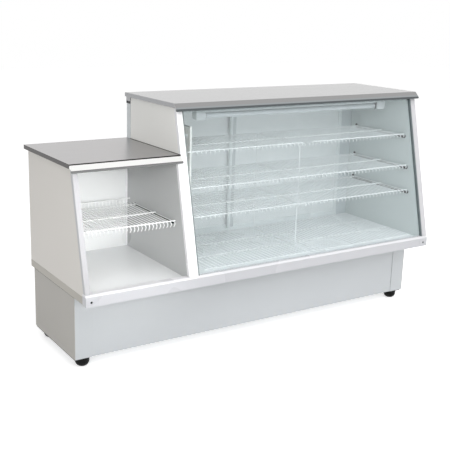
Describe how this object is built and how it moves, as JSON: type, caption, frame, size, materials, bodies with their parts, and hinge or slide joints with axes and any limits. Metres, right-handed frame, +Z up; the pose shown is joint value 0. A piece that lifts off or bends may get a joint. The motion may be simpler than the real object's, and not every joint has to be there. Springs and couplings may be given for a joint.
{
  "type": "refrigerated deli counter",
  "caption": "Stepped shop counter: an open self-service section beside a glass-fronted refrigerated display with wire shelves and rear sliding doors.",
  "frame": {"origin": "middle of the footprint, on the floor under the feet", "axes": "+Z up, -Y towards the customer (sloped glass front), +Y towards the operator (sliding doors), +X to the customer's right, from the low section to the tall display"},
  "size_m": [2.012, 0.668, 1.15],
  "materials": {
    "rubber": "moulded",
    "galvanised": "galvanised sheet",
    "plinth_paint": "powder coated, light blue-grey",
    "plinth_side_paint": "powder coated, grey-beige",
    "dark_plastic": "fine grain",
    "white_paint": "powder coated, satin white",
    "white_liner": "white pre-coated sheet",
    "grey_trim": "satin anodised",
    "white_trim": "satin white profile",
    "low_worktop_steel": "satin stainless",
    "high_worktop_steel": "satin stainless",
    "bracket_steel": "phosphated, dark grey",
    "screw_steel": "zinc plated",
    "clear_glass": "clear toughened glass",
    "gasket": "extruded, grey",
    "tube_glass": "opal lamp tube",
    "holder_plastic": "moulded white",
    "door_paint": "satin white profile",
    "opal_pane": "opal white",
    "white_wire": "plastic coated wire",
    "coil_aluminium": "bare fins",
    "black_enamel": "semi-gloss black",
    "copper": "drawn copper tube",
    "fan_plastic": "moulded",
    "control_plastic": "moulded",
    "knob_plastic": "moulded"
  },
  "bodies": {
    "cabinet": {"feet": "rubber", "bottom_tray": "galvanised", "deck_posts": "galvanised", "plinth_front_panel": "plinth_paint", "plinth_left_panel": "plinth_side_paint", "plinth_right_panel": "plinth_side_paint", "plinth_corners": "plinth_paint", "rear_grille": "plinth_side_paint", "deck": "white_paint", "deck_side_strips": "white_trim", "sill_profile": "white_trim", "sill_end_caps": "white_trim", "sill_screws": "screw_steel", "low_floor": "white_liner", "left_end_panel": "white_paint", "left_front_strip": "white_trim", "low_back_panel": "white_liner", "low_worktop": "low_worktop_steel", "low_shelf": "white_wire", "low_shelf_brackets": "white_paint", "low_side_panel": "white_liner", "low_right_strip": "white_trim", "divider_panel": "white_paint", "display_left_strip": "white_trim", "right_end_panel": "white_liner", "display_right_strip": "white_trim", "front_glass": "clear_glass", "glass_gaskets": "gasket", "high_worktop": "high_worktop_steel", "ceiling_liner": "white_liner", "lamp_tube": "tube_glass", "lamp_holders": "holder_plastic", "rear_posts": "white_trim", "door_tracks": "grey_trim", "top_shelf_left": "white_wire", "top_shelf_right": "white_wire", "middle_shelf_left": "white_wire", "middle_shelf_right": "white_wire", "lower_shelf_left": "white_wire", "lower_shelf_right": "white_wire", "centre_frame": "white_wire", "shelf_brackets": "bracket_steel", "evaporator_cover": "white_paint", "evaporator": "coil_aluminium", "display_floor": "white_liner", "floor_rack_left": "white_wire", "floor_rack_right": "white_wire", "compressor": "black_enamel", "condenser": "coil_aluminium", "fan_motor": "black_enamel", "fan_shroud": "galvanised", "refrigerant_pipes": "copper", "control_box": "control_plastic"},
    "left_door": {"left_door_frame": "door_paint", "left_door_pane": "opal_pane"},
    "right_door": {"right_door_frame": "door_paint", "right_door_pane": "opal_pane"},
    "fan": {"fan_blades": "fan_plastic"},
    "thermostat_knob": {"thermostat_knob": "knob_plastic"},
    "lamp_switch": {"lamp_switch": "knob_plastic"}
  },
  "joints": [
    {"name": "left_door_slide", "type": "slide", "parent": "cabinet", "child": "left_door", "axis": [1, 0, 0], "range_m": [0, 0.55]},
    {"name": "right_door_slide", "type": "slide", "parent": "cabinet", "child": "right_door", "axis": [-1, 0, 0], "range_m": [0, 0.55]},
    {"name": "fan_spin", "type": "hinge", "parent": "cabinet", "child": "fan", "pos_m": [0.71, 0.15, 0.172], "axis": [0, 1, 0], "continuous": true},
    {"name": "thermostat_turn", "type": "hinge", "parent": "cabinet", "child": "thermostat_knob", "pos_m": [0.078, 0.29, 0.25], "axis": [0, -1, 0], "range_deg": [0, 270]},
    {"name": "lamp_switch_rock", "type": "hinge", "parent": "cabinet", "child": "lamp_switch", "pos_m": [0.13, 0.287, 0.25], "axis": [1, 0, 0], "range_deg": [-18, 0]}
  ]
}
